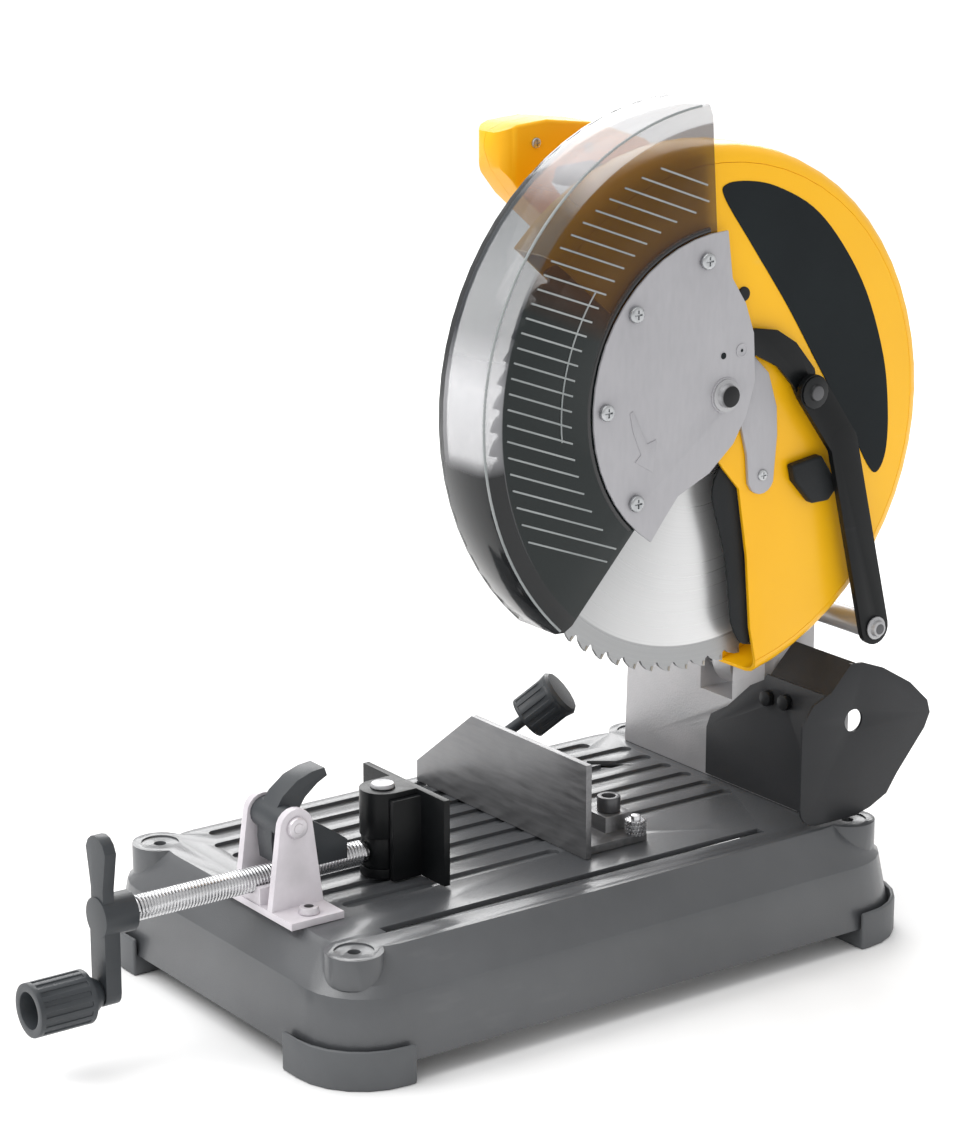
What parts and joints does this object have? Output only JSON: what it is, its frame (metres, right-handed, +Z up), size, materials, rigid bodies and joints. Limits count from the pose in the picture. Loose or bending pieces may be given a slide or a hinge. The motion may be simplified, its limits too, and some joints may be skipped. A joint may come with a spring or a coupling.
{
  "type": "abrasive chop saw",
  "caption": "Bench chop saw for metal: toothed round blade under a sprung swinging arm with guards, screw vise, swinging fence and a ribbed base on rubber feet.",
  "frame": {"origin": "centre of the bounding box at the floor, under the rubber feet", "axes": "+Z up, +X to the operator's right, the operator stands at -Y with the vise crank"},
  "size_m": [0.338, 0.6952, 0.6215],
  "materials": {
    "base_charcoal": "satin charcoal paint",
    "black_rubber": "matt rubber",
    "cast_aluminium": "as-cast, satin",
    "zinc_steel": "zinc plated",
    "blade_steel": "ground steel",
    "black_paint": "satin black paint",
    "yellow_housing": "satin yellow paint",
    "yellow_plastic": "satin yellow nylon",
    "plate_silver": "silver paint",
    "smoke_plastic": "tinted clear polycarbonate",
    "dark_plastic": "fine texture",
    "copper_winding": "lacquered winding on a steel core",
    "fence_grey": "dark oiled steel"
  },
  "bodies": {
    "base": {"base_shell": "base_charcoal", "foot_front_left": "black_rubber", "foot_front_right": "black_rubber", "foot_rear_left": "black_rubber", "foot_rear_right": "black_rubber", "pivot_bracket": "cast_aluminium", "pivot_shaft": "zinc_steel", "return_spring": "zinc_steel", "chip_deflector": "black_paint", "deflector_bolt_1": "zinc_steel", "deflector_bolt_2": "zinc_steel", "link_cross_bar": "zinc_steel", "link_bolt": "zinc_steel", "vise_bracket": "cast_aluminium", "bracket_bolt_1": "zinc_steel", "bracket_bolt_2": "zinc_steel", "lever_pin": "zinc_steel", "fence_pivot_bolt": "zinc_steel"},
    "arm": {"arm_casting": "cast_aluminium", "motor_housing": "yellow_plastic", "motor_end_cap": "dark_plastic", "stator": "copper_winding", "spindle_bearing": "zinc_steel", "upper_guard": "yellow_housing", "guard_liner": "black_rubber", "guard_support": "plate_silver", "guard_pivot_screw": "zinc_steel", "stop_bumper": "black_rubber", "handle_left": "yellow_plastic", "handle_right": "yellow_plastic", "cord_gland": "black_rubber"},
    "blade": {"saw_blade": "blade_steel", "inner_flange": "blade_steel", "outer_flange": "blade_steel", "arbor_bolt": "zinc_steel", "spindle": "zinc_steel", "spindle_gear": "zinc_steel"},
    "rotor": {"armature": "zinc_steel", "cooling_fan": "dark_plastic", "motor_pinion": "zinc_steel"},
    "lower_guard": {"lower_guard": "smoke_plastic", "guard_plate": "plate_silver", "plate_screw_1": "zinc_steel", "plate_screw_2": "zinc_steel", "plate_screw_3": "zinc_steel", "plate_screw_4": "zinc_steel", "guard_lever": "black_paint", "link_pin": "zinc_steel"},
    "guard_link": {"guard_link": "black_paint"},
    "trigger": {"trigger": "dark_plastic"},
    "vise_carriage": {"screw_eye": "zinc_steel", "jaw_pin": "zinc_steel"},
    "vise_screw": {"vise_screw": "zinc_steel", "crank": "dark_plastic"},
    "crank_knob": {"crank_knob": "dark_plastic"},
    "vise_jaw": {"vise_jaw": "black_paint"},
    "release_lever": {"release_lever": "dark_plastic"},
    "fence": {"fence": "fence_grey"},
    "fence_lock": {"fence_lock_lever": "dark_plastic"}
  },
  "joints": [
    {"name": "arm_pivot", "type": "hinge", "parent": "base", "child": "arm", "pos_m": [0, 0.26965, 0.18], "axis": [1, 0, 0], "range_deg": [0, 41.73], "stiffness_Nm_per_rad": 30, "springref_deg": -42.97},
    {"name": "guard_pivot", "type": "hinge", "parent": "arm", "child": "lower_guard", "pos_m": [0.1336, 0.13865, 0.421], "axis": [1, 0, 0], "range_deg": [-33, 0.5]},
    {"name": "link_pivot", "type": "hinge", "parent": "base", "child": "guard_link", "pos_m": [0.1385, 0.27865, 0.233], "axis": [1, 0, 0], "range_deg": [-0.5, 58]},
    {"name": "blade_spin", "type": "hinge", "parent": "arm", "child": "blade", "pos_m": [0.108, 0.13865, 0.398], "axis": [1, 0, 0], "continuous": true},
    {"name": "armature_spin", "type": "hinge", "parent": "arm", "child": "rotor", "pos_m": [0, 0.17835, 0.4048], "axis": [1, 0, 0], "continuous": true},
    {"name": "trigger_pull", "type": "slide", "parent": "arm", "child": "trigger", "axis": [0, 0, 1], "range_m": [0, 0.005], "stiffness_N_per_m": 900, "springref_m": -0.002},
    {"name": "vise_slide", "type": "slide", "parent": "base", "child": "vise_carriage", "axis": [0, 1, 0], "range_m": [0, 0.075]},
    {"name": "screw_turn", "type": "hinge", "parent": "vise_carriage", "child": "vise_screw", "pos_m": [0.02, -0.27035, 0.1045], "axis": [0, 1, 0], "range_deg": [-5, 5405]},
    {"name": "knob_spin", "type": "hinge", "parent": "vise_screw", "child": "crank_knob", "pos_m": [0.02, -0.29535, 0.0515], "axis": [0, 1, 0], "continuous": true},
    {"name": "jaw_swivel", "type": "hinge", "parent": "vise_carriage", "child": "vise_jaw", "pos_m": [0.02, -0.06735, 0.0865], "axis": [0, 0, 1], "range_deg": [-25, 25]},
    {"name": "quick_release", "type": "hinge", "parent": "base", "child": "release_lever", "pos_m": [0.02, -0.15735, 0.147], "axis": [1, 0, 0], "range_deg": [0, 25]},
    {"name": "fence_swing", "type": "hinge", "parent": "base", "child": "fence", "pos_m": [0.05, 0.10865, 0.085], "axis": [0, 0, -1], "range_deg": [0, 45]},
    {"name": "fence_lock", "type": "hinge", "parent": "fence", "child": "fence_lock", "pos_m": [-0.108, 0.10265, 0.085], "axis": [0, 0, -1], "range_deg": [0, 45]}
  ],
  "couplings": [
    {"joint": "guard_pivot", "follows": "arm_pivot", "ratio": -0.784},
    {"joint": "link_pivot", "follows": "arm_pivot", "ratio": 1.377},
    {"joint": "armature_spin", "follows": "blade_spin", "ratio": -3.6},
    {"joint": "screw_turn", "follows": "vise_slide", "rad_per_m": 1256.6}
  ]
}
